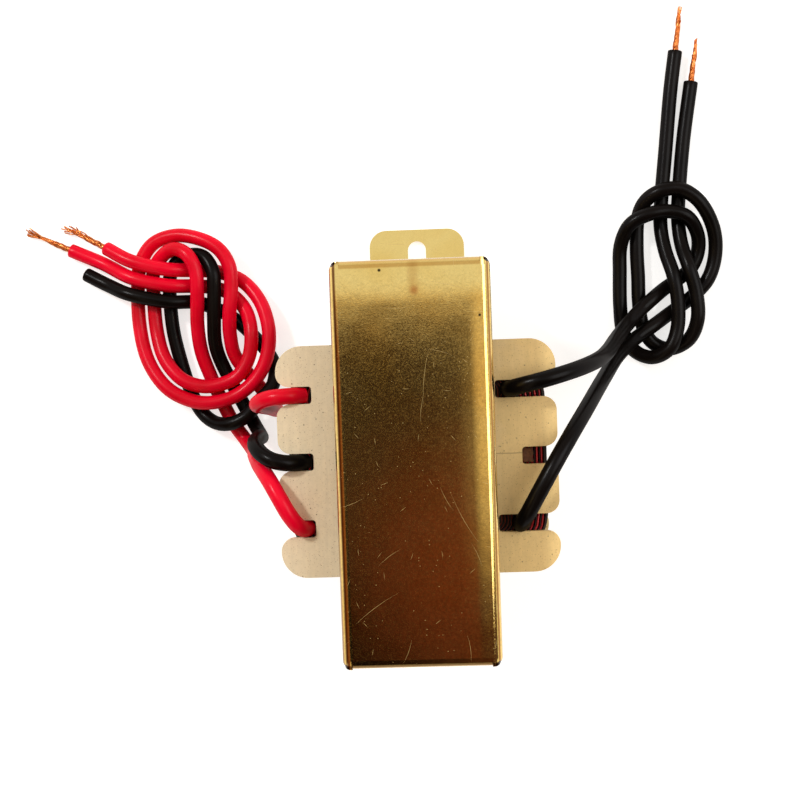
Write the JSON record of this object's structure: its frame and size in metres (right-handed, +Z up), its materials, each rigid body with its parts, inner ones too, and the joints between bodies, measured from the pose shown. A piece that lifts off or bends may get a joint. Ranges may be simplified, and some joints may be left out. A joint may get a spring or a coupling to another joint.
{
  "type": "transformer",
  "caption": "Small mains transformer with a laminated iron core in a folded steel channel frame, a wound bobbin, stranded leads and slotted feet.",
  "frame": {"origin": "On the surface that the feet stand on, midway between the two feet and in the middle of the stack.", "axes": "+Z up from the mounting surface, +Y along the line through the two feet, +X across the stack to the side where the primary leads come out."},
  "size_m": [0.1247, 0.1129, 0.0498],
  "materials": {
    "passivated_steel": "yellow passivated sheet steel, worn and lightly scratched",
    "core_steel": "varnished stacked stampings",
    "moulded_nylon": "cream moulded plastic with fine dark specks",
    "enamelled_copper": "brown enamelled wire",
    "insulating_paper": "brown insulating paper",
    "red_enamelled_copper": "red enamelled wire",
    "coil_tape": "dark adhesive cloth tape",
    "red_pvc": "soft red PVC, semi-gloss",
    "black_pvc": "soft black PVC, semi-gloss",
    "bare_copper": "bright twisted copper strands"
  },
  "bodies": {
    "root": {"channel_frame": "passivated_steel", "e_laminations": "core_steel", "i_laminations": "core_steel", "bobbin": "moulded_nylon", "primary_winding": "enamelled_copper", "winding_insulation": "insulating_paper", "secondary_winding": "red_enamelled_copper", "coil_wrap": "coil_tape", "secondary_lead_top": "red_pvc", "centre_tap_lead": "black_pvc", "secondary_lead_bottom": "red_pvc", "primary_lead_top": "black_pvc", "primary_lead_bottom": "black_pvc", "secondary_strands_top": "bare_copper", "secondary_strands_bottom": "bare_copper", "primary_strands_top": "bare_copper", "primary_strands_bottom": "bare_copper"}
  },
  "joints": []
}
